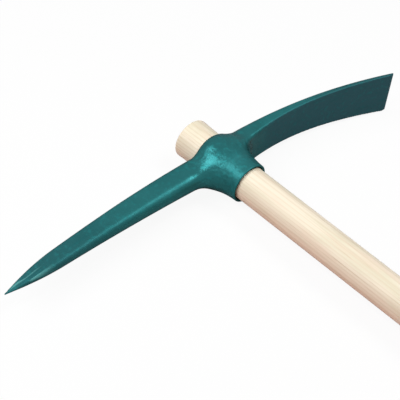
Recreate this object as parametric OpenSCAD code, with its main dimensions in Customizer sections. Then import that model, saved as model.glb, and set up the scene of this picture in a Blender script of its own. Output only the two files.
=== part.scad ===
// Pick axe: a forged head with a point and a wide blade, held on the flared top of a round ash handle.
// Millimetres. +X runs along the handle to its butt, +Y to the blade, +Z up with the tool on its side.
// The origin is on the handle's axis, half way along the straight grip.
// Levels of the head are measured along the handle, from the line on which its two arms meet, positive
// towards the butt.

/* [Handle] */
// Length of the whole handle
handle_length = 900; // [700:10:1100]
// Diameter of the straight grip
grip_diameter = 36; // [32:0.5:38]
// Growth of the radius from the grip to the neck below the head
neck_growth = 1; // [0.2:0.1:2]
// Growth of the radius from the neck to the flared top, on which the head jams
flare_growth = 3.6; // [2:0.1:5]
// Length of the slow taper from the neck to the grip
neck_length = 248.5; // [100:0.5:350]
// How far the flared top stands out of the head
stub_length = 28.8; // [10:0.1:45]
// Rounding of the rim of the flared top
top_round = 2.4; // [0.5:0.1:5]
// Rounding of the rim of the butt
butt_round = 5; // [1:0.5:10]

/* [Eye and boss] */
// Level of the lip at the lower end of the collar
lip_level = 51.5; // [40:0.5:65]
// Height of the rim round the upper end of the eye
rim_height = 10.2; // [6:0.1:16]
// Wall round the eye at the widest part of the boss
boss_wall = 7.5; // [5:0.1:11]
// Level of the widest part of the boss
boss_level = 6; // [0:0.5:12]
// Wall of the collar at its lip
lip_wall = 2.3; // [1:0.1:4]
// Wall round the upper end of the eye, before its edge is rounded
rim_wall = 1.5; // [1:0.1:6]
// Reach of the rounding of that rim
rim_blend = 6; // [2:0.5:9]
// Clearance between the eye and the flare of the handle
seat_clearance = 0.1; // [0.05:0.01:0.3]
// Widening of the eye's radius at the lip
mouth_relief = 1.4; // [0.5:0.1:1.6]
// Depth over which the eye widens to the lip
mouth_depth = 8; // [3:0.5:14]

/* [Point] */
// Distance from the eye's axis to the tip of the point
point_reach = 275.4; // [240:0.1:320]
// Distance from the eye's axis to the crest of the arched point arm
point_crest = 134; // [120:1:180]
// Level of the crest
point_crest_level = 1.9; // [-3:0.1:4]
// Drop of the tip below the crest
point_drop = 3.7; // [1:0.1:20]
// Thickness of the point arm along the handle, carried back to the eye's axis
point_root_thickness = 35.1; // [26:0.1:38]
// Width of the point arm across the handle, carried back to the eye's axis
point_root_width = 25.2; // [20:0.1:32]
// Dip of the arm's upper side towards the rim, carried back to the eye's axis
point_dip = 4; // [0:0.1:6]
// Distance from the eye's axis at which the dip has died out
point_dip_length = 145; // [60:1:200]
// Distance from the eye's axis to the neck, where the sharpened tip begins
point_neck = 208; // [190:1:235]
// Thickness at the neck
point_neck_thickness = 20.2; // [12:0.1:22]
// Width at the neck
point_neck_width = 11.1; // [10:0.1:18]
// Side of the small flat on the tip
point_flat = 1; // [0.6:0.1:3]
// Power of the curve that draws the tip in from the neck
tip_power = 2.2; // [1:0.1:2.5]
// Radius of the arm's long edges as a share of half its smaller size
point_edge_share = 0.7; // [0.3:0.05:0.9]

/* [Blade] */
// Distance from the eye's axis to the cutting edge
blade_reach = 227.6; // [200:0.1:260]
// Level of the blade's middle line at the eye's axis
blade_level = 1.5; // [0:0.1:6]
// Drop of the cutting edge below that level
blade_drop = 50.2; // [20:0.1:70]
// Thickness of the blade's sides, carried back to the eye's axis
blade_root_thickness = 11.3; // [7:0.1:16]
// Thickness at the cutting edge
blade_edge_thickness = 3.6; // [2:0.1:6]
// Width of the blade near the boss
blade_root_width = 40.7; // [36:0.1:50]
// Width of the cutting edge
blade_edge_width = 53.9; // [50:0.1:80]
// Distance from the eye's axis at which the blade begins to widen
flare_start = 49; // [40:1:150]
// Power of the curve that widens the blade
flare_power = 1.3; // [1:0.1:2.5]
// Height of the crown on the blade's outer face at the eye's axis
crown_height = 2.5; // [1:0.1:8]
// Distance from the eye's axis at which the crown has died out
crown_length = 150; // [110:1:190]
// Thickening of the blade's inner side at the eye's axis
swell_height = 16.7; // [8:0.1:26]
// Distance from the eye's axis at which the thickening has died out
swell_length = 166; // [60:1:180]
// Power of the curve along which the thickening dies out
swell_power = 2.4; // [1:0.1:3]
// Radius of the blade's long edges as a share of half its whole thickness
blade_edge_share = 0.6; // [0.1:0.05:0.8]

/* [Blends] */
// Reach of the fillet between the boss and the point arm, on the butt's side
point_fillet = 19.2; // [12:0.1:24]
// Reach of the fillet between the boss and the blade, on the butt's side
blade_fillet = 15.1; // [8:0.1:24]
// Reach of both fillets on the upper side
upper_fillet = 4.1; // [1:0.1:8]
// Level at which the fillets begin to grow from the upper reach
fillet_level = -12; // [-20:0.5:-8]
// Length along the handle over which the fillets grow
fillet_growth = 30; // [20:1:45]
// Distance from the eye's axis at which each arm begins inside the boss
arm_start = 18; // [14:0.5:22]
// Distance from the eye's axis beyond which the boss no longer shapes the arms
boss_span = 78; // [76:1:90]

/* [Hidden] */
$fn = 96;

// Steps along the head and round its section
root_steps = 20;
arm_steps = 11;
tip_steps = 8;
face_steps = 5;
corner_steps = 4;
side_steps = 6;
half_steps = 2 * face_steps + 2 * corner_steps + side_steps;
loop_steps = 2 * half_steps;
bell_steps = 14;
round_steps = 8;
solve_steps = 18;

// How far the skin of the arms runs below the surface of the boss, and overrun of every cut
skin_inset = 0.4;
overrun = 2;

// Handle along its own axis, by level
grip_radius = grip_diameter / 2;
neck_radius = grip_radius + neck_growth;
top_level = -rim_height - stub_length;
flare_slope = flare_growth / (lip_level - top_level);
grip_level = lip_level + neck_length;
butt_level = top_level + handle_length;
grip_length = butt_level - butt_round - grip_level;
eye_x = -grip_level - grip_length / 2;

// Radius of the handle's flare and of the eye at a level
function flare_radius(level) = neck_radius + (lip_level - level) * flare_slope;
function eye_radius(level) = flare_radius(level) + seat_clearance;
mouth_radius = eye_radius(lip_level) + mouth_relief;
lip_radius = mouth_radius + lip_wall;
widest_radius = eye_radius(boss_level) + boss_wall;
rim_radius = eye_radius(-rim_height) + rim_wall;
relief_level = lip_level - mouth_depth;

// Radius of the wider mouth at a level, which meets the eye at the relief level
relief_slope = (mouth_radius - eye_radius(relief_level)) / mouth_depth;
function relief_radius(level) = mouth_radius - (lip_level - level) * relief_slope;

// Arms as arcs about a centre on the butt's side of their crest
function arc_radius(reach, drop) = (reach * reach + drop * drop) / (2 * drop);
function arc_length(radius, reach) = radius * asin(reach / radius) * PI / 180;
point_radius = arc_radius(point_reach - point_crest, point_drop);
point_length = point_crest + arc_length(point_radius, point_reach - point_crest);
blade_radius = arc_radius(blade_reach, blade_drop);
blade_length = arc_length(blade_radius, blade_reach);
reach_limit = lip_level + widest_radius;

// Plain curves and blends
function ease(t) = let (c = min(max(t, 0), 1)) c * c * (3 - 2 * c);
function mix(a, b, t) = a + (b - a) * t;
function soft_min(a, b, reach) =
    let (near = max(reach - abs(a - b), 0) / reach)
    min(a, b) - near * near * reach / 4;
function soft_max(a, b, reach) = -soft_min(-a, -b, reach);

// Radius of the boss at a level: a bell from the lip to its widest part, drawn in towards the rim
function boss_radius(level) =
    level > boss_level
    ? mix(lip_radius, widest_radius, ease((lip_level - level) / (lip_level - boss_level)))
    : mix(widest_radius, rim_radius, pow((boss_level - level) / (boss_level + rim_height), 2));

// Point of the rounded rim: its radius and level. The lead is how much deeper the point lies below the
// side of the boss than below its top, from minus the reach of the rounding to the whole reach
function rim_point(lead) =
    let (cut = pow(rim_blend - abs(lead), 2) / (4 * rim_blend),
         below_side = cut + max(lead, 0),
         below_top = cut + max(-lead, 0),
         level = below_top - rim_height)
    [boss_radius(level) - below_side, level];

// Distance of a point from the boss, a little below its surface, negative inside
function boss_distance(p) =
    let (side = norm([p[1], p[2]]) - boss_radius(p[0]),
         end = p[0] - relief_level)
    max(soft_max(side, -rim_height - p[0], rim_blend) + skin_inset, end);

// Section of an arm: inner half, outer half, half width, edge radius and crown of the outer face
function point_section(s) =
    let (tip = max((s - point_neck) / (point_length - point_neck), 0),
         drawn = 1 - pow(tip, tip_power),
         along = s / point_neck,
         half = max(mix(point_root_thickness, point_neck_thickness, along) * drawn, point_flat) / 2,
         wide = max(mix(point_root_width, point_neck_width, along) * drawn, point_flat) / 2,
         dip = point_dip * pow(max(1 - s / point_dip_length, 0), 2))
    [half, half - dip, wide, point_edge_share * min(half, wide), 0];
function blade_section(s) =
    let (half = mix(blade_root_thickness, blade_edge_thickness, s / blade_length) / 2,
         flared = pow(max((s - flare_start) / (blade_length - flare_start), 0), flare_power),
         wide = mix(blade_root_width, blade_edge_width, flared) / 2,
         swell = swell_height * pow(max(1 - s / swell_length, 0), swell_power),
         crown = crown_height * (1 - ease(s / crown_length)))
    [half + swell, half, wide, blade_edge_share * (half + swell / 2), crown];

// Crown at a place across the section
function crown_at(section, z) = section[4] * max(1 - pow(z / section[2], 2), 0);

// Distance from a section of the point u towards the butt and z across, negative inside
function rounded_box(u, z, half, wide, radius) =
    let (a = abs(u) - half + radius,
         b = abs(z) - wide + radius)
    norm([max(a, 0), max(b, 0)]) + min(max(a, b), 0) - radius;
function section_distance(section, u, z) =
    let (middle = (section[0] - section[1]) / 2,
         half = (section[0] + section[1]) / 2,
         v = u - middle,
         flat = v < 0 ? v * half / (half + crown_at(section, z)) : v)
    rounded_box(flat, z, half, section[2], section[3]);

// Distance from the arm itself, which begins inside the boss
function arm_distance(section, s, u, z) =
    let (across = section_distance(section, u, z),
         before = arm_start - s)
    norm([max(across, 0), max(before, 0)]) + min(max(across, before), 0);

// Place in the head of a point of an arm's section, s along the arm
function point_place(s, uz) =
    let (turn = (s - point_crest) / point_radius * 180 / PI,
         arm = point_radius - uz[0])
    [point_crest_level + point_radius - arm * cos(turn), -point_crest - arm * sin(turn), uz[1]];
function blade_place(s, uz) =
    let (turn = s / blade_radius * 180 / PI,
         arm = blade_radius - uz[0])
    [blade_level + blade_radius - arm * cos(turn), arm * sin(turn), uz[1]];
function place(to_blade, s, uz) = to_blade ? blade_place(s, uz) : point_place(s, uz);
function section_of(to_blade, s) = to_blade ? blade_section(s) : point_section(s);

// Distance from the boss and the arm, blended
function skin_distance(to_blade, s, section, uz) =
    let (p = place(to_blade, s, uz),
         grown = ease((p[0] - fillet_level) / fillet_growth),
         fillet = mix(upper_fillet, to_blade ? blade_fillet : point_fillet, grown))
    soft_min(boss_distance(p), arm_distance(section, s, uz[0], uz[1]), fillet);

// Point of an arm's section by its step round the upper half, from the inner face to the outer
function corner_point(centre_u, centre_z, radius, turn) =
    [centre_u + radius * cos(turn), centre_z + radius * sin(turn)];
function half_point(section, step) =
    let (radius = section[3],
         flat_z = section[2] - radius,
         inner_u = section[0] - radius,
         outer_u = radius - section[1],
         corner = step - face_steps,
         side = corner - corner_steps,
         back = side - side_steps,
         last = back - corner_steps)
    corner <= 0 ? [section[0], flat_z * step / face_steps]
    : side <= 0 ? corner_point(inner_u, flat_z, radius, 90 * corner / corner_steps)
    : back <= 0 ? [mix(inner_u, outer_u, side / side_steps), section[2]]
    : last <= 0 ? corner_point(outer_u, flat_z, radius, 90 + 90 * back / corner_steps)
    : [-section[1], flat_z * (1 - last / face_steps)];
function crowned_point(section, uz) =
    let (middle = (section[0] - section[1]) / 2,
         half = (section[0] + section[1]) / 2,
         v = uz[0] - middle)
    v < 0 ? [middle + v * (half + crown_at(section, uz[1])) / half, uz[1]] : uz;

// Ray through a step of the section: round at the eye's axis, the arm's own section away from the boss
function section_ray(section, s, step) =
    let (turn = 180 * step / half_steps)
    mix(widest_radius * [cos(turn), sin(turn)], crowned_point(section, half_point(section, step)),
        ease(2 * s / boss_span));

// Share of the ray at which it leaves the skin
function leaving_share(to_blade, s, section, ray, low, high, steps) =
    let (middle = (low + high) / 2)
    steps == 0 ? middle
    : skin_distance(to_blade, s, section, ray * middle) < 0
        ? leaving_share(to_blade, s, section, ray, middle, high, steps - 1)
        : leaving_share(to_blade, s, section, ray, low, middle, steps - 1);
function skin_point(to_blade, s, section, step) =
    let (ray = section_ray(section, s, step))
    s >= boss_span ? ray
    : ray * leaving_share(to_blade, s, section, ray, 0, reach_limit / norm(ray), solve_steps);

// Closed loop of points round the head at one station, mirrored across the head's middle plane
function station_loop(to_blade, s) =
    let (section = section_of(to_blade, s),
         half = [for (step = [0 : half_steps]) skin_point(to_blade, s, section, step)])
    [for (step = [0 : loop_steps - 1])
        place(to_blade, s, step <= half_steps
            ? half[step]
            : [half[loop_steps - step][0], -half[loop_steps - step][1]])];

// Stations along the head, from the tip of the point to the cutting edge
function even_steps(from, to, steps) = [for (i = [1 : steps]) mix(from, to, i / steps)];
root_stations = even_steps(arm_start / 2, boss_span, root_steps);
point_stations = concat(root_stations, even_steps(boss_span, point_neck, arm_steps),
    even_steps(point_neck, point_length, tip_steps));
blade_stations = concat(root_stations, even_steps(boss_span, blade_length, 2 * arm_steps));

// Triangles that join each loop to the next along the shorter diagonals, and the two ends
function band_faces(points, loops) =
    [for (i = [0 : loops - 2])
        for (j = [0 : loop_steps - 1])
            let (next = (j + 1) % loop_steps,
                 a = i * loop_steps + j,
                 b = i * loop_steps + next,
                 c = a + loop_steps,
                 d = b + loop_steps,
                 straight = norm(points[a] - points[d]) < norm(points[b] - points[c]))
            for (face = straight ? [[a, b, d], [a, d, c]] : [[a, b, c], [b, d, c]]) face];
function end_faces(loops) =
    let (last = (loops - 1) * loop_steps,
         tip = loops * loop_steps,
         edge = tip + 1)
    [for (j = [0 : loop_steps - 1])
        let (next = (j + 1) % loop_steps)
        for (face = [[tip, next, j], [edge, last + j, last + next]]) face];

module head_skin() {
    count = len(point_stations);
    loops = concat(
        [for (i = [0 : count - 1]) station_loop(false, point_stations[count - 1 - i])],
        [station_loop(true, 0)],
        [for (s = blade_stations) station_loop(true, s)]);
    points = concat(
        [for (loop = loops) for (p = loop) p],
        [point_place(point_length, [0, 0]), blade_place(blade_length, [0, 0])]);
    polyhedron(
        points = points,
        faces = concat(band_faces(points, len(loops)), end_faces(len(loops))),
        convexity = 6);
}

// Cone along the handle between two levels
module cone(from, to, from_radius, to_radius) {
    translate([from, 0, 0])
        rotate([0, 90, 0])
            cylinder(h = to - from, r1 = from_radius, r2 = to_radius);
}

// Round boss with its collar, from the lip to the rounded rim
module boss() {
    rim_start = rim_blend - rim_height;
    rotate([0, 90, 0])
        rotate_extrude()
            polygon(concat(
                [[0, lip_level]],
                [for (i = [0 : bell_steps])
                    let (level = mix(lip_level, rim_start, i / bell_steps))
                    [boss_radius(level), level]],
                [for (i = [1 : round_steps]) rim_point(mix(-rim_blend, rim_blend, i / round_steps))],
                [[0, -rim_height]]));
}

module eye_cut() {
    upper = top_level - overrun;
    inner = relief_level - overrun;
    lower = lip_level + overrun;
    cone(upper, lower, eye_radius(upper), eye_radius(lower));
    cone(inner, lower, relief_radius(inner), relief_radius(lower));
}

module pick_head() {
    color("teal")
        translate([eye_x, 0, 0])
            difference() {
                union() {
                    boss();
                    head_skin();
                }
                eye_cut();
            }
}

// Outline of half the handle: radius and level
function rim_arc(radius, level, round, from_turn) =
    [for (i = [0 : round_steps])
        let (turn = from_turn + 90 * i / round_steps)
        [radius - round + round * cos(turn), level + round * sin(turn)]];

module handle() {
    top_rim_level = top_level + top_round;
    butt_rim_level = butt_level - butt_round;
    color("burlywood")
        translate([eye_x, 0, 0])
            rotate([0, 90, 0])
                rotate_extrude()
                    polygon(concat(
                        [[0, top_level]],
                        rim_arc(flare_radius(top_rim_level), top_rim_level, top_round, -90),
                        [[neck_radius, lip_level], [grip_radius, grip_level]],
                        rim_arc(grip_radius, butt_rim_level, butt_round, 0),
                        [[0, butt_level]]));
}

pick_head();
handle();
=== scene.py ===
"""A pick axe with a forged teal head on a round ash handle, lying on its side on a pale floor.

Metres, in the part's own frame: +X along the handle to its butt, +Y to the blade, +Z up.
"""
import math

import bmesh
import bpy
import numpy as np
from mathutils import Matrix, Vector


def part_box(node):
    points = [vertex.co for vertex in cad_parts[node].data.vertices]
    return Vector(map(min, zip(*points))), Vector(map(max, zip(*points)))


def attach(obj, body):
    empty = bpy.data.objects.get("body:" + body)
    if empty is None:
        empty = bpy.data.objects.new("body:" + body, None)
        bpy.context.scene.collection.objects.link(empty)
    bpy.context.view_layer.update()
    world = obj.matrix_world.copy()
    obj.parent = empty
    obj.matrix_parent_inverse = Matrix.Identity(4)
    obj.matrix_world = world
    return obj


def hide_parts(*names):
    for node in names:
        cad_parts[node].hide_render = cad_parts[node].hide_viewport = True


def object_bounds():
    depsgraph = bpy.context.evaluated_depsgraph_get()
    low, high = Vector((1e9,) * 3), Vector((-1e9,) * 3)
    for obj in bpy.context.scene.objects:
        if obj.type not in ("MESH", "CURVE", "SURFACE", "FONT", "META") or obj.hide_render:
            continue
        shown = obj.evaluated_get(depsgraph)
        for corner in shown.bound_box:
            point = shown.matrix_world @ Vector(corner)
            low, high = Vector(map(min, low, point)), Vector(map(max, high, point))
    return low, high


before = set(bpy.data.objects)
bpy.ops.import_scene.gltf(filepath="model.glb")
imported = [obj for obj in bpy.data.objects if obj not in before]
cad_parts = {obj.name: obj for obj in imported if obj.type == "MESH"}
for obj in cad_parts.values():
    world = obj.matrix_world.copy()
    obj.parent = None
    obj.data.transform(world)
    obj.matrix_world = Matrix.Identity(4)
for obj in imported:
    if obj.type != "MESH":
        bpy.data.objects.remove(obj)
cad_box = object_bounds()

# Handle, by its level: the distance along it from the line on which the head's arms meet
handle_low, handle_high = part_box("handle")
EYE_X = -0.578
TOP_LEVEL = handle_low.x - EYE_X
BUTT_LEVEL = handle_high.x - EYE_X
LIP_LEVEL = 0.0515
GRIP_LEVEL = 0.300
GRIP_RADIUS = 0.018
NECK_RADIUS = 0.019
FLARE_GROWTH = 0.0036
TOP_ROUND = 0.0024
BUTT_ROUND = 0.005
HANDLE_SIDES = 128
HANDLE_STEP = 0.012
RIM_STEPS = 10
END_RINGS = 8

# Eye, boss and collar
RIM_HEIGHT = 0.0102
BOSS_WALL = 0.0075
BOSS_LEVEL = 0.006
LIP_WALL = 0.0023
RIM_WALL = 0.0015
RIM_BLEND = 0.006
SEAT_CLEARANCE = 0.0001
MOUTH_RELIEF = 0.0014
MOUTH_DEPTH = 0.008

# Point arm, an arc about a centre on the butt's side. Pairs of sizes run along the handle and across.
POINT_REACH = 0.2754
POINT_CREST = 0.134
POINT_CREST_LEVEL = 0.0019
POINT_DROP = 0.0037
POINT_ROOT = (0.0351, 0.0252)
POINT_DIP = 0.004
POINT_DIP_LENGTH = 0.145
POINT_NECK = 0.208
POINT_NECK_SIZE = (0.0202, 0.0111)
POINT_FLAT = 0.001
TIP_POWER = 2.2
TIP_WEAR = 0.0016
POINT_EDGE_SHARE = 0.7
POINT_RIDGE_SHARE = 0.88

# Blade, an arc about a centre on the butt's side. Pairs of sizes run from its root to its edge.
BLADE_REACH = 0.2276
BLADE_LEVEL = 0.0015
BLADE_DROP = 0.0502
BLADE_THICKNESS = (0.0113, 0.0036)
BLADE_WIDTH = (0.0407, 0.0539)
FLARE_START = 0.049
FLARE_POWER = 1.3
CROWN_HEIGHT = 0.0025
CROWN_LENGTH = 0.150
SWELL_HEIGHT = 0.0167
SWELL_LENGTH = 0.166
SWELL_POWER = 2.4
BLADE_EDGE_SHARE = 0.6
CREASE_EDGE_SHARE = 0.3

# Blends between the boss and the arms, and the worn rounding of the cut edges
POINT_FILLET = 0.0192
BLADE_FILLET = 0.0151
UPPER_FILLET = 0.0041
FILLET_LEVEL = -0.012
FILLET_GROWTH = 0.030
ARM_START = 0.018
CUT_ROUND = 0.0011

# Fineness of the head's mesh, and how its points are evened out and settled on the surface
HEAD_VOXEL = 0.0009
GRADIENT_STEP = 0.00004
LEAST_SQUARED_SLOPE = 0.2
RELAX_SHARE = 0.5
SETTLE_ROUNDS = 4
NEWTON_ROUNDS = 3

# Derived sizes
FLARE_SLOPE = FLARE_GROWTH / (LIP_LEVEL - TOP_LEVEL)
RELIEF_LEVEL = LIP_LEVEL - MOUTH_DEPTH


def flare_radius(level):
    """Radius of the handle's flare at a level."""
    return NECK_RADIUS + (LIP_LEVEL - level) * FLARE_SLOPE


def eye_radius(level):
    """Radius of the eye at a level, without its wider mouth."""
    return flare_radius(level) + SEAT_CLEARANCE


def arc_radius(reach, drop):
    """Radius of an arc that drops by a given amount over a given reach."""
    return (reach * reach + drop * drop) / (2 * drop)


MOUTH_RADIUS = eye_radius(LIP_LEVEL) + MOUTH_RELIEF
LIP_RADIUS = MOUTH_RADIUS + LIP_WALL
WIDEST_RADIUS = eye_radius(BOSS_LEVEL) + BOSS_WALL
RIM_RADIUS = eye_radius(-RIM_HEIGHT) + RIM_WALL
POINT_RADIUS = arc_radius(POINT_REACH - POINT_CREST, POINT_DROP)
POINT_LENGTH = POINT_CREST + POINT_RADIUS * math.asin((POINT_REACH - POINT_CREST) / POINT_RADIUS)
BLADE_RADIUS = arc_radius(BLADE_REACH, BLADE_DROP)
BLADE_LENGTH = BLADE_RADIUS * math.asin(BLADE_REACH / BLADE_RADIUS)


# Plain curves and blends on arrays
def mix(a, b, t):
    """Value between a and b at a share t."""
    return a + (b - a) * t


def ease(t):
    """Smooth step from 0 to 1."""
    t = np.clip(t, 0, 1)
    return t * t * (3 - 2 * t)


def soft_min(a, b, reach):
    """Lesser of two distances, with a fillet where they differ by less than the reach."""
    near = np.maximum(reach - np.abs(a - b), 0) / reach
    return np.minimum(a, b) - near * near * reach / 4


def soft_max(a, b, reach):
    """Greater of two distances, with the edge between them rounded."""
    return -soft_min(-a, -b, reach)


def sharp_max(a, b):
    """Greater of two distances, true outside the edge between them too."""
    return np.hypot(np.maximum(a, 0), np.maximum(b, 0)) + np.minimum(np.maximum(a, b), 0)


def rounded_box(inward, z, half, wide, radius):
    """Distance from a rounded rectangle, negative inside."""
    return sharp_max(np.abs(inward) - half + radius, np.abs(z) - wide + radius) - radius


# Head, as a distance from its surface
def arm_span(across, run, length):
    """Distance from an arm, by the distance from its section and the run along it."""
    begun = sharp_max(across, ARM_START - run)
    return soft_max(begun, run - length, CUT_ROUND)


def point_arm(level, y, z):
    """Distance from the point arm, by the run along its arc and the place inward of it."""
    height = POINT_RADIUS - (level - POINT_CREST_LEVEL)
    out = -y - POINT_CREST
    inward = POINT_RADIUS - np.hypot(height, out)
    run = POINT_CREST + POINT_RADIUS * np.arctan2(out, height)
    along = np.clip(run, 0, POINT_LENGTH)
    tip = np.maximum((along - POINT_NECK) / (POINT_LENGTH - POINT_NECK), 0)
    drawn = 1 - tip ** TIP_POWER
    half, wide = (
        np.maximum(mix(root, neck, along / POINT_NECK) * drawn, POINT_FLAT) / 2
        for root, neck in zip(POINT_ROOT, POINT_NECK_SIZE)
    )
    dip = POINT_DIP * np.maximum(1 - along / POINT_DIP_LENGTH, 0) ** 2
    edge = np.where(inward > dip / 2, POINT_RIDGE_SHARE, POINT_EDGE_SHARE) * np.minimum(half, wide)
    across = rounded_box(inward - dip / 2, z, half - dip / 2, wide, edge)
    return arm_span(across, run, POINT_LENGTH - TIP_WEAR)


def blade_arm(level, y, z):
    """Distance from the blade, by the run along its arc and the place inward of its middle."""
    height = BLADE_RADIUS - (level - BLADE_LEVEL)
    run = BLADE_RADIUS * np.arctan2(y, height)
    along = np.clip(run, 0, BLADE_LENGTH)
    half = mix(*BLADE_THICKNESS, along / BLADE_LENGTH) / 2
    flared = np.maximum((along - FLARE_START) / (BLADE_LENGTH - FLARE_START), 0) ** FLARE_POWER
    wide = mix(*BLADE_WIDTH, flared) / 2
    swell = SWELL_HEIGHT * np.maximum(1 - along / SWELL_LENGTH, 0) ** SWELL_POWER
    crown = CROWN_HEIGHT * (1 - ease(along / CROWN_LENGTH)) * np.maximum(1 - (z / wide) ** 2, 0)
    thick = half + swell / 2
    inward = BLADE_RADIUS - np.hypot(height, y) - swell / 2
    edge = np.where(inward > 0, CREASE_EDGE_SHARE, BLADE_EDGE_SHARE) * thick
    inward = np.where(inward < 0, inward * thick / (thick + crown), inward)
    return arm_span(rounded_box(inward, z, thick, wide, edge), run, BLADE_LENGTH)


def boss_radius(level):
    """Radius of the boss: a bell from the lip to its widest part, drawn in towards the rim."""
    bell = mix(LIP_RADIUS, WIDEST_RADIUS, ease((LIP_LEVEL - level) / (LIP_LEVEL - BOSS_LEVEL)))
    upper = mix(WIDEST_RADIUS, RIM_RADIUS, ((BOSS_LEVEL - level) / (BOSS_LEVEL + RIM_HEIGHT)) ** 2)
    return np.where(level > BOSS_LEVEL, bell, upper)


def hole_radius(level):
    """Radius of the eye with its wider mouth."""
    slope = (MOUTH_RADIUS - eye_radius(RELIEF_LEVEL)) / MOUTH_DEPTH
    mouth = eye_radius(RELIEF_LEVEL) + slope * (level - RELIEF_LEVEL)
    return soft_max(eye_radius(level), mouth, CUT_ROUND / 2)


def head_distance(points):
    """Distance of points in the part's frame from the head's surface, negative inside the steel."""
    level, y, z = points[:, 0] - EYE_X, points[:, 1], points[:, 2]
    out = np.hypot(y, z)
    boss = soft_max(out - boss_radius(level), -RIM_HEIGHT - level, RIM_BLEND)
    grown = ease((level - FILLET_LEVEL) / FILLET_GROWTH)
    skin = soft_min(boss, point_arm(level, y, z), mix(UPPER_FILLET, POINT_FILLET, grown))
    skin = soft_min(skin, blade_arm(level, y, z), mix(UPPER_FILLET, BLADE_FILLET, grown))
    skin = soft_max(skin, level - LIP_LEVEL, CUT_ROUND)
    return soft_max(skin, hole_radius(level) - out, CUT_ROUND)


def settle(points):
    """Points moved along the slope of the distance until they lie on the head's surface."""
    for _ in range(NEWTON_ROUNDS):
        slope = np.stack([
            (head_distance(points + step) - head_distance(points - step)) / (2 * GRADIENT_STEP)
            for step in GRADIENT_STEP * np.eye(3)
        ], axis=1)
        squared = np.maximum((slope ** 2).sum(axis=1), LEAST_SQUARED_SLOPE)
        points = points - slope * (head_distance(points) / squared)[:, None]
    return points


# Meshes
def new_object(name, data):
    """New object in the scene."""
    item = bpy.data.objects.new(name, data)
    bpy.context.scene.collection.objects.link(item)
    return item


def remeshed(node, voxel):
    """Even mesh of a CAD node's solid."""
    work = new_object("work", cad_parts[node].data.copy())
    remesh = work.modifiers.new("remesh", "REMESH")
    remesh.mode = "VOXEL"
    remesh.voxel_size = voxel
    graph = bpy.context.evaluated_depsgraph_get()
    mesh = bpy.data.meshes.new_from_object(work.evaluated_get(graph))
    bpy.data.objects.remove(work)
    return mesh


def make_head():
    """The forged head: an even mesh of its solid, relaxed and settled on the exact surface."""
    mesh = remeshed("pick_head", HEAD_VOXEL)
    count = len(mesh.vertices)
    points = np.empty(count * 3)
    mesh.vertices.foreach_get("co", points)
    points = points.reshape(-1, 3)
    edges = np.empty(len(mesh.edges) * 2, dtype=np.int32)
    mesh.edges.foreach_get("vertices", edges)
    first, second = edges.reshape(-1, 2).T
    degree = np.bincount(edges, minlength=count)[:, None]
    for _ in range(SETTLE_ROUNDS):
        total = np.zeros_like(points)
        np.add.at(total, first, points[second])
        np.add.at(total, second, points[first])
        points = settle(mix(points, total / degree, RELAX_SHARE))
    points = np.clip(points, *(np.array(corner) for corner in cad_box))
    mesh.vertices.foreach_set("co", points.ravel())
    mesh.polygons.foreach_set("use_smooth", np.ones(len(mesh.polygons), dtype=bool))
    mesh.update()
    return new_object("forged_head", mesh)


def handle_profile():
    """Outline of half the handle: pairs of level and radius, from the top's middle to the butt's."""
    def rim(level, radius, rounding, start):
        """Quarter of a circle that rounds an end."""
        return [
            (level + rounding * math.sin(turn), radius - rounding + rounding * math.cos(turn))
            for turn in (start + math.pi / 2 * i / RIM_STEPS for i in range(RIM_STEPS + 1))
        ]

    def straight(begin, end):
        """Points between two ends, without them."""
        steps = max(1, round((end[0] - begin[0]) / HANDLE_STEP))
        return [tuple(mix(a, b, i / steps) for a, b in zip(begin, end)) for i in range(1, steps)]

    top_rim = TOP_LEVEL + TOP_ROUND
    top = rim(top_rim, flare_radius(top_rim), TOP_ROUND, -math.pi / 2)
    butt = rim(BUTT_LEVEL - BUTT_ROUND, GRIP_RADIUS, BUTT_ROUND, 0)
    neck = (LIP_LEVEL, NECK_RADIUS)
    grip = (GRIP_LEVEL, GRIP_RADIUS)
    top_face = [(TOP_LEVEL, top[0][1] * i / END_RINGS) for i in range(1, END_RINGS)]
    butt_face = [(BUTT_LEVEL, butt[-1][1] * i / END_RINGS) for i in range(END_RINGS - 1, 0, -1)]
    return (top_face + top + straight(top[-1], neck) + [neck] + straight(neck, grip) + [grip]
            + straight(grip, butt[0]) + butt + butt_face)


def make_handle():
    """The turned handle as rings of points, closed by a fan at each end."""
    shape = bmesh.new()
    turns = (2 * math.pi * i / HANDLE_SIDES for i in range(HANDLE_SIDES))
    circle = [(math.cos(turn), math.sin(turn)) for turn in turns]
    rings = [
        [shape.verts.new((EYE_X + level, radius * y, radius * z)) for y, z in circle]
        for level, radius in handle_profile()
    ]
    top = shape.verts.new((EYE_X + TOP_LEVEL, 0, 0))
    butt = shape.verts.new((EYE_X + BUTT_LEVEL, 0, 0))
    for i in range(HANDLE_SIDES):
        j = (i + 1) % HANDLE_SIDES
        shape.faces.new((top, rings[0][j], rings[0][i]))
        shape.faces.new((butt, rings[-1][i], rings[-1][j]))
        for here, after in zip(rings, rings[1:]):
            shape.faces.new((here[i], here[j], after[j], after[i]))
    bmesh.ops.recalc_face_normals(shape, faces=shape.faces)
    for face in shape.faces:
        face.smooth = True
    mesh = bpy.data.meshes.new("ash_handle")
    shape.to_mesh(mesh)
    shape.free()
    return new_object("ash_handle", mesh)


# Materials: the curve of the sRGB standard, straight up to its knee and a power above it
SRGB_TOP = 255
SRGB_KNEE = 0.04045
SRGB_SLOPE = 12.92
SRGB_OFFSET = 0.055
SRGB_POWER = 2.4


def srgb(red, green, blue):
    """Linear colour of an sRGB colour given from 0 to 255."""
    def linear(value):
        """Share of light in one channel."""
        share = value / SRGB_TOP
        if share <= SRGB_KNEE:
            return share / SRGB_SLOPE
        return ((share + SRGB_OFFSET) / (1 + SRGB_OFFSET)) ** SRGB_POWER

    return (linear(red), linear(green), linear(blue), 1.0)


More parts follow.
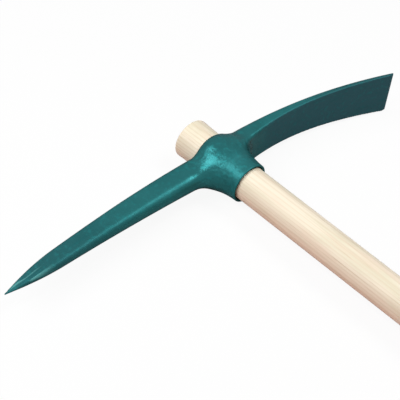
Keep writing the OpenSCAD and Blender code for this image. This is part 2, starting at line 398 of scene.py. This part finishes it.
# Places of the colour sockets on a Mix node
MIX_FIRST = 6
MIX_SECOND = 7
MIX_RESULT = 2

# Spans of a share, and of the middle values of a noise
FULL_SPAN = (0.0, 1.0)
MIDDLE_SPAN = (0.3, 0.7)


class Nodes:
    """Builds the nodes of a material or a world: an input is a value or another node's output."""

    def __init__(self, owner):
        owner.use_nodes = True
        self.tree = owner.node_tree

    def put(self, socket, value):
        """Links an output to an input, or sets the input to a value."""
        if isinstance(value, bpy.types.NodeSocket):
            self.tree.links.new(value, socket)
        else:
            socket.default_value = value

    def fill(self, node, **inputs):
        """Sets inputs of a node by their names, with _ for a space."""
        for key, value in inputs.items():
            self.put(node.inputs[key.replace("_", " ")], value)

    def add(self, kind, output=0, **inputs):
        """Output of a new node."""
        node = self.tree.nodes.new(kind)
        self.fill(node, **inputs)
        return node.outputs[output]

    def math(self, operation, *values):
        """Result of one operation."""
        node = self.tree.nodes.new("ShaderNodeMath")
        node.operation = operation
        for socket, value in zip(node.inputs, values):
            self.put(socket, value)
        return node.outputs[0]

    def times(self, first, *others):
        """Product of all the values."""
        for other in others:
            first = self.math("MULTIPLY", first, other)
        return first

    def plus(self, first, *others):
        """Sum of all the values."""
        for other in others:
            first = self.math("ADD", first, other)
        return first

    def axis(self, kind, name):
        """X, Y or Z of the place on the object in metres, or of its normal."""
        vector = self.add("ShaderNodeTexCoord", output=kind)
        return self.add("ShaderNodeSeparateXYZ", output=name, Vector=vector)

    def noise(self, cells, octaves, falloff):
        """Noise with a number of cells per metre along each axis."""
        here = self.add("ShaderNodeTexCoord", output="Object")
        here = self.add("ShaderNodeMapping", Vector=here, Scale=cells)
        return self.add("ShaderNodeTexNoise", output="Fac", Vector=here, Scale=1.0, Detail=octaves,
                        Roughness=falloff)

    def ramp(self, value, span, low=0.0, high=1.0):
        """Smooth change from low to high while a value crosses a span."""
        node = self.tree.nodes.new("ShaderNodeMapRange")
        node.interpolation_type = "SMOOTHSTEP"
        self.fill(node, Value=value, From_Min=span[0], From_Max=span[1], To_Min=low, To_Max=high)
        return node.outputs[0]

    def blend(self, share, first, second):
        """Colour between two colours, at a share of the second."""
        node = self.tree.nodes.new("ShaderNodeMix")
        node.data_type = "RGBA"
        self.put(node.inputs["Factor"], share)
        self.put(node.inputs[MIX_FIRST], first)
        self.put(node.inputs[MIX_SECOND], second)
        return node.outputs[MIX_RESULT]

    def layers(self, tone, *layers):
        """Colour under layers, which are pairs of a share and a colour."""
        for share, colour in layers:
            tone = self.blend(share, tone, colour)
        return tone

    def bump(self, height, depth, strength, **below):
        """Normal of a bumpy surface, on top of the Normal given."""
        return self.add("ShaderNodeBump", output="Normal", Height=height, Distance=depth,
                        Strength=strength, **below)

    def finish(self, **inputs):
        """Sets inputs of the material's own shader."""
        self.fill(self.tree.nodes["Principled BSDF"], **inputs)

    def show(self, output, share, first, second):
        """Shows a mix of two shaders, at a share of the second."""
        mixed = self.tree.nodes.new("ShaderNodeMixShader")
        for socket, value in zip(mixed.inputs, (share, first, second)):
            self.put(socket, value)
        self.put(self.tree.nodes[output].inputs["Surface"], mixed.outputs[0])


# Paint: its tones, from the ground colour to the scuffs and painted highlight on top, with a painted
# shade on the blade's inner face
PAINT_DEEP = srgb(35, 97, 99)
PAINT_LIGHT = srgb(39, 104, 106)
POINT_END_TONE = srgb(36, 84, 88)
BLADE_END_TONE = srgb(40, 78, 82)
# Painted shade: a greyer, darker tone on the blade's inward-facing side, standing in for its shade and
# dim reflection
INNER_SHADE_TONE = srgb(50, 90, 98)
MOTTLE_TONE = srgb(36, 126, 128)
STREAK_TONE = srgb(20, 88, 92)
EDGE_TONE = srgb(40, 112, 114)
# Light streaks near the tip: partly scuffed paint, partly a painted highlight along the tip
SCUFF_AND_HIGHLIGHT_TONE = srgb(92, 158, 156)

# Paint: the most that each tone covers. Pairs are for the arms and the boss.
POINT_END_SHARE = 0.7
BLADE_END_SHARE = 0.8
INNER_SHADE_SHARE = 0.9
MOTTLE_SHARES = (0.25, 0.35)
STREAK_SHARE = 0.3
EDGE_SHARE = 0.25
SCUFF_AND_HIGHLIGHT_SHARE = 0.6

# Paint: patterns, and the values of each between which its tone appears
DRIFT = {"cells": (38, 38, 38), "octaves": 2.0, "falloff": 0.5}
MOTTLE = {"cells": (220, 220, 220), "octaves": 1.5, "falloff": 0.5}
STREAKS = {"cells": (170, 14, 170), "octaves": 4.0, "falloff": 0.55}
SCALE_PITS = {"cells": (800, 800, 800), "octaves": 1.0, "falloff": 0.5}
SCUFF_AND_HIGHLIGHT_STREAKS = {"cells": (240, 8, 240), "octaves": 2.0, "falloff": 0.5}
MOTTLE_SPAN = (0.52, 0.72)
STREAK_SPAN = (0.5, 0.75)
SCUFF_AND_HIGHLIGHT_SPAN = (0.54, 0.64)
POINTINESS_SPAN = (0.52, 0.60)
INNER_FACING_SPAN = (0.3, 0.8)

# Paint: places along Y where it changes. The boss counts both ways, the collar is by its level.
BOSS_ZONE = (0.030, 0.075)
COLLAR_ZONE = (0.016, 0.033)
POINT_END_ZONE = (-0.23, -0.10)
POINT_ROUGH_ZONE = (-0.08, -0.04)
SCUFF_AND_HIGHLIGHT_START_ZONE = (-0.245, -0.215)
SCUFF_AND_HIGHLIGHT_END_ZONE = (-0.272, -0.262)
BLADE_END_ZONE = (0.08, 0.20)
BLADE_INNER_SHADE_ZONE = (0.035, 0.08)
BLADE_ROUGH_ZONE = (0.03, 0.08)

# Paint: roughness and what each zone adds to it, depths and strengths of the bumps, and the gloss
PAINT_ROUGHNESS = (0.34, 0.41)
ARM_ROUGHER = 0.05
BOSS_ROUGHER = -0.02
COLLAR_ROUGHER = 0.10
BLADE_ROUGHER = 0.14
POINT_ROUGHER = 0.05
MOTTLE_DEPTH = 0.0013
MOTTLE_BUMPS = (0.16, 0.4)
STREAK_DEPTH = 0.0006
STREAK_BUMP = 0.18
PITS_DEPTH = 0.0003
PITS_BUMP = 0.06
PAINT_METALLIC = 0.62
PAINT_SPECULAR = 0.5
PAINT_SPECULAR_TINT = (0.12, 0.12, 0.14, 1.0)


def head_paint():
    """Metallic teal paint over a forged skin: mottled, most on the boss, and streaked along the arms."""
    material = bpy.data.materials.new("head_paint")
    made = Nodes(material)
    level = made.plus(made.axis("Object", "X"), -EYE_X)
    y = made.axis("Object", "Y")
    on_boss = made.ramp(made.math("ABSOLUTE", y), BOSS_ZONE, 1.0, 0.0)
    mottle = made.noise(**MOTTLE)
    streaks = made.noise(**STREAKS)

    # Painted shade on the blade's faces turned towards the butt: greyer and darker
    inner_shade = made.ramp(made.axis("Normal", "X"), INNER_FACING_SPAN, 0.0, INNER_SHADE_SHARE)
    mottled = made.times(made.ramp(mottle, MOTTLE_SPAN), made.ramp(on_boss, FULL_SPAN, *MOTTLE_SHARES))
    worn_edge = made.ramp(made.add("ShaderNodeNewGeometry", output="Pointiness"), POINTINESS_SPAN)
    # Light streaks along the tip: partly scuffs, partly a painted highlight
    near_tip = made.times(made.ramp(y, SCUFF_AND_HIGHLIGHT_START_ZONE, 1.0, 0.0), made.ramp(y, SCUFF_AND_HIGHLIGHT_END_ZONE))
    scuffed_and_highlit = made.times(made.ramp(made.noise(**SCUFF_AND_HIGHLIGHT_STREAKS), SCUFF_AND_HIGHLIGHT_SPAN), near_tip, SCUFF_AND_HIGHLIGHT_SHARE)
    ground = made.blend(made.ramp(made.noise(**DRIFT), MIDDLE_SPAN), PAINT_DEEP, PAINT_LIGHT)
    tone = made.layers(
        ground,
        (made.ramp(y, POINT_END_ZONE, POINT_END_SHARE, 0.0), POINT_END_TONE),
        (made.ramp(y, BLADE_END_ZONE, 0.0, BLADE_END_SHARE), BLADE_END_TONE),
        (made.times(inner_shade, made.ramp(y, BLADE_INNER_SHADE_ZONE)), INNER_SHADE_TONE),
        (mottled, MOTTLE_TONE),
        (made.times(made.ramp(streaks, STREAK_SPAN), STREAK_SHARE), STREAK_TONE),
        (made.times(worn_edge, EDGE_SHARE), EDGE_TONE),
        (scuffed_and_highlit, SCUFF_AND_HIGHLIGHT_TONE),
    )
    rough = made.plus(
        made.ramp(mottle, MIDDLE_SPAN, *PAINT_ROUGHNESS),
        made.ramp(on_boss, FULL_SPAN, ARM_ROUGHER, BOSS_ROUGHER),
        made.times(on_boss, made.ramp(level, COLLAR_ZONE, 0.0, COLLAR_ROUGHER)),
        made.ramp(y, BLADE_ROUGH_ZONE, 0.0, BLADE_ROUGHER),
        made.ramp(y, POINT_ROUGH_ZONE, POINT_ROUGHER, 0.0),
    )
    forged = made.bump(mottle, MOTTLE_DEPTH, made.ramp(on_boss, FULL_SPAN, *MOTTLE_BUMPS))
    forged = made.bump(streaks, STREAK_DEPTH, STREAK_BUMP, Normal=forged)
    forged = made.bump(made.noise(**SCALE_PITS), PITS_DEPTH, PITS_BUMP, Normal=forged)
    made.finish(Base_Color=tone, Roughness=rough, Normal=forged, Metallic=PAINT_METALLIC,
                Specular_IOR_Level=PAINT_SPECULAR, Specular_Tint=PAINT_SPECULAR_TINT)
    return material


# Wood: its tones, and the most that each covers
ASH_DEEP = srgb(240, 231, 205)
ASH_PALE = srgb(253, 241, 219)
BLUSH_TONE = srgb(249, 225, 203)
EARLY_TONE = srgb(231, 214, 184)
FIBRE_TONE = srgb(222, 203, 174)
PORE_TONE = srgb(196, 166, 130)
END_PALE = srgb(232, 211, 178)
END_DARK = srgb(196, 162, 122)
BLUSH_SHARE = 0.5
EARLY_SHARE = 0.5
FIBRE_SHARE = 0.34
PORE_SHARE = 0.5
END_RING_SHARE = 0.75
END_SHARE = 0.8

# Wood: growth rings about a pith beside the handle, by Y and Z, and the early wood's part of a ring
PITH_PLACE = (-0.034, -0.021)
RING_WIDTH = 0.0034
RING_WARP = 0.006
EARLY_RISE = (0.0, 0.12)
EARLY_FALL = (0.12, 0.55)
END_RING_SPAN = (0.1, 0.6)

# Wood: patterns, and the values of each between which its tone appears
WARP = {"cells": (3.0, 40.0, 40.0), "octaves": 2.0, "falloff": 0.5}
WARP_MIDDLE = 0.5
FLAME = {"cells": (11.0, 75.0, 75.0), "octaves": 3.0, "falloff": 0.55}
BLUSH = {"cells": (15.0, 105.0, 105.0), "octaves": 2.0, "falloff": 0.5}
FIBRE = {"cells": (9.0, 620.0, 620.0), "octaves": 2.0, "falloff": 0.6}
PORES = {"cells": (24.0, 1100.0, 1100.0), "octaves": 1.0, "falloff": 0.5}
FLAME_SPAN = (0.36, 0.58)
BLUSH_SPAN = (0.5, 0.7)
FIBRE_SPAN = (0.5, 0.72)
PORE_SPAN = (0.6, 0.72)
END_FACING_SPAN = (0.75, 0.97)

# Wood: roughness, depths and strengths of the bumps, and the sanded finish
ASH_ROUGHNESS = (0.52, 0.66)
PORE_ROUGHER = 0.1
FIBRE_DEPTH = 0.0003
FIBRE_BUMP = 0.06
PORE_DEPTH = 0.0004
PORE_BUMP = 0.1
SHEEN_WEIGHT = 0.25
SHEEN_ROUGHNESS = 0.4
SHEEN_TINT = (0.8, 0.85, 0.9, 1.0)


def ash_wood():
    """Pale ash: growth rings, open pores along the grain, darker end grain and a sanded finish."""
    material = bpy.data.materials.new("ash_wood")
    made = Nodes(material)
    shift = made.times(made.math("SUBTRACT", made.noise(**WARP), WARP_MIDDLE), RING_WARP)
    from_pith = made.math("SQRT", made.plus(*(
        made.math("POWER", made.plus(made.axis("Object", name), shift, -pith), 2.0)
        for name, pith in zip("YZ", PITH_PLACE)
    )))
    ring = made.math("FRACT", made.math("DIVIDE", from_pith, RING_WIDTH))
    early = made.times(made.ramp(ring, EARLY_RISE), made.ramp(ring, EARLY_FALL, 1.0, 0.0))
    fibre = made.noise(**FIBRE)
    pores = made.times(made.ramp(made.noise(**PORES), PORE_SPAN), early)
    on_end = made.ramp(made.math("ABSOLUTE", made.axis("Normal", "X")), END_FACING_SPAN)
    end_grain = made.blend(made.ramp(ring, END_RING_SPAN, END_RING_SHARE, 0.0), END_PALE, END_DARK)
    ground = made.blend(made.ramp(made.noise(**FLAME), FLAME_SPAN), ASH_DEEP, ASH_PALE)
    tone = made.layers(
        ground,
        (made.ramp(made.noise(**BLUSH), BLUSH_SPAN, 0.0, BLUSH_SHARE), BLUSH_TONE),
        (made.times(early, EARLY_SHARE), EARLY_TONE),
        (made.times(made.ramp(fibre, FIBRE_SPAN), FIBRE_SHARE), FIBRE_TONE),
        (made.times(pores, PORE_SHARE), PORE_TONE),
        (made.times(on_end, END_SHARE), end_grain),
    )
    rough = made.plus(made.ramp(fibre, MIDDLE_SPAN, *ASH_ROUGHNESS), made.times(pores, PORE_ROUGHER))
    grain = made.bump(fibre, FIBRE_DEPTH, FIBRE_BUMP)
    grain = made.bump(pores, -PORE_DEPTH, PORE_BUMP, Normal=grain)
    made.finish(Base_Color=tone, Roughness=rough, Normal=grain, Sheen_Weight=SHEEN_WEIGHT,
                Sheen_Roughness=SHEEN_ROUGHNESS, Sheen_Tint=SHEEN_TINT)
    return material


# Stage: a floor that looks nearly white, but throws back only a little warm light to the shaded sides
FLOOR_SIZE = 60.0
FLOOR_GLOW = 0.92
REFLECTED_GLOW = 0.1
FLOOR_COLOUR = (0.93, 0.93, 0.93, 1.0)
FLOOR_BOUNCE = (0.55, 0.28, 0.23, 1.0)
WHITE = (1.0, 1.0, 1.0, 1.0)
WORLD_COLOUR = (1.0, 0.96, 0.93, 1.0)
WORLD_STRENGTH = 0.06


def seen_directly(made, reflected=1.0):
    """1 for rays from the camera, the given share for reflected and refracted ones, 0 for the rest."""
    share = made.add("ShaderNodeLightPath", output="Is Camera Ray")
    for other in ("Is Glossy Ray", "Is Transmission Ray"):
        ray = made.times(made.add("ShaderNodeLightPath", output=other), reflected)
        share = made.math("MAXIMUM", share, ray)
    return share


def floor_paint():
    """Matt floor that looks nearly white and still takes a soft shadow."""
    material = bpy.data.materials.new("floor")
    made = Nodes(material)
    colour = made.blend(seen_directly(made), FLOOR_BOUNCE, FLOOR_COLOUR)
    made.finish(Base_Color=colour, Roughness=1.0, Specular_IOR_Level=0.0)
    matt = made.tree.nodes["Principled BSDF"].outputs[0]
    glow = made.add("ShaderNodeEmission")
    share = made.times(seen_directly(made, REFLECTED_GLOW), FLOOR_GLOW)
    made.show("Material Output", share, matt, glow)
    return material


def make_floor():
    """Pale floor under the lowest part of the head, its boss."""
    level = cad_box[0].z
    half = FLOOR_SIZE / 2
    mesh = bpy.data.meshes.new("floor")
    corners = [(-half, -half, level), (half, -half, level), (half, half, level), (-half, half, level)]
    mesh.from_pydata(corners, [], [(0, 1, 2, 3)])
    mesh.materials.append(floor_paint())
    floor = new_object("floor", mesh)


def make_world():
    """Soft even light from all round, white where it is seen directly."""
    world = bpy.data.worlds.new("studio")
    bpy.context.scene.world = world
    made = Nodes(world)
    light = made.tree.nodes["Background"]
    made.fill(light, Color=WORLD_COLOUR, Strength=WORLD_STRENGTH)
    white = made.add("ShaderNodeBackground", Color=WHITE)
    made.show("World Output", seen_directly(made), light.outputs[0], white)


def turned(place, right, up, back):
    """Matrix of an object at a place, from the directions of its own axes."""
    return Matrix.Translation(place) @ Matrix((right, up, back)).transposed().to_4x4()


# Lamps: places counted from the middle of the eye, sizes along the handle and across, power in watts
LAMPS = {
    "front_box": {"place": (-0.45, -0.86, 1.32), "size": (1.5, 0.55), "power": 22.8},
    "far_box": {"place": (0.33, 0.42, 0.97), "size": (0.4, 0.4), "power": 5.1},
}


def make_lamp(name, place, size, power):
    """Soft rectangular lamp aimed at the eye, with one side in line with the handle."""
    away = Vector(place)
    back = away.normalized()
    along = Vector((1, 0, 0)) - back * back.x
    along.normalize()
    data = bpy.data.lights.new(name, "AREA")
    data.shape = "RECTANGLE"
    data.size, data.size_y = size
    data.energy = power
    eye = Vector((EYE_X, 0, 0))
    new_object(name, data).matrix_world = turned(eye + away, along, back.cross(along), back)


# Camera as in the photograph, found by fitting its outlines: angles in degrees, lens in millimetres
CAMERA_PLACE = Vector((-0.0689, -0.5606, 0.7361))
CAMERA_AZIMUTH = 43.155
CAMERA_ELEVATION = 46.719
CAMERA_ROLL = 4.85
CAMERA_LENS = 90.0
CAMERA_SENSOR = 36.0


def make_camera():
    """Camera at its place, turned by its azimuth, elevation and roll."""
    azimuth = math.radians(CAMERA_AZIMUTH)
    elevation = math.radians(CAMERA_ELEVATION)
    roll = math.radians(CAMERA_ROLL)
    level_back = Vector((math.sin(azimuth), -math.cos(azimuth), 0))
    back = level_back * math.cos(elevation) + Vector((0, 0, math.sin(elevation)))
    level_right = Vector((math.cos(azimuth), math.sin(azimuth), 0))
    level_up = back.cross(level_right)
    right = level_right * math.cos(roll) + level_up * math.sin(roll)
    up = level_up * math.cos(roll) - level_right * math.sin(roll)
    data = bpy.data.cameras.new("camera")
    data.lens = CAMERA_LENS
    data.sensor_width = CAMERA_SENSOR
    camera = new_object("camera", data)
    camera.matrix_world = turned(CAMERA_PLACE, right, up, back)
    bpy.context.scene.camera = camera


make_camera()
make_world()
for lamp_name, lamp in LAMPS.items():
    make_lamp(lamp_name, **lamp)
make_floor()

head = make_head()
head.data.materials.clear()
head.data.materials.append(head_paint())
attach(head, "head")
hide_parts("pick_head")

handle = make_handle()
handle.data.materials.append(ash_wood())
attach(handle, "handle")
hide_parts("handle")

bpy.context.scene.view_settings.view_transform = "Standard"
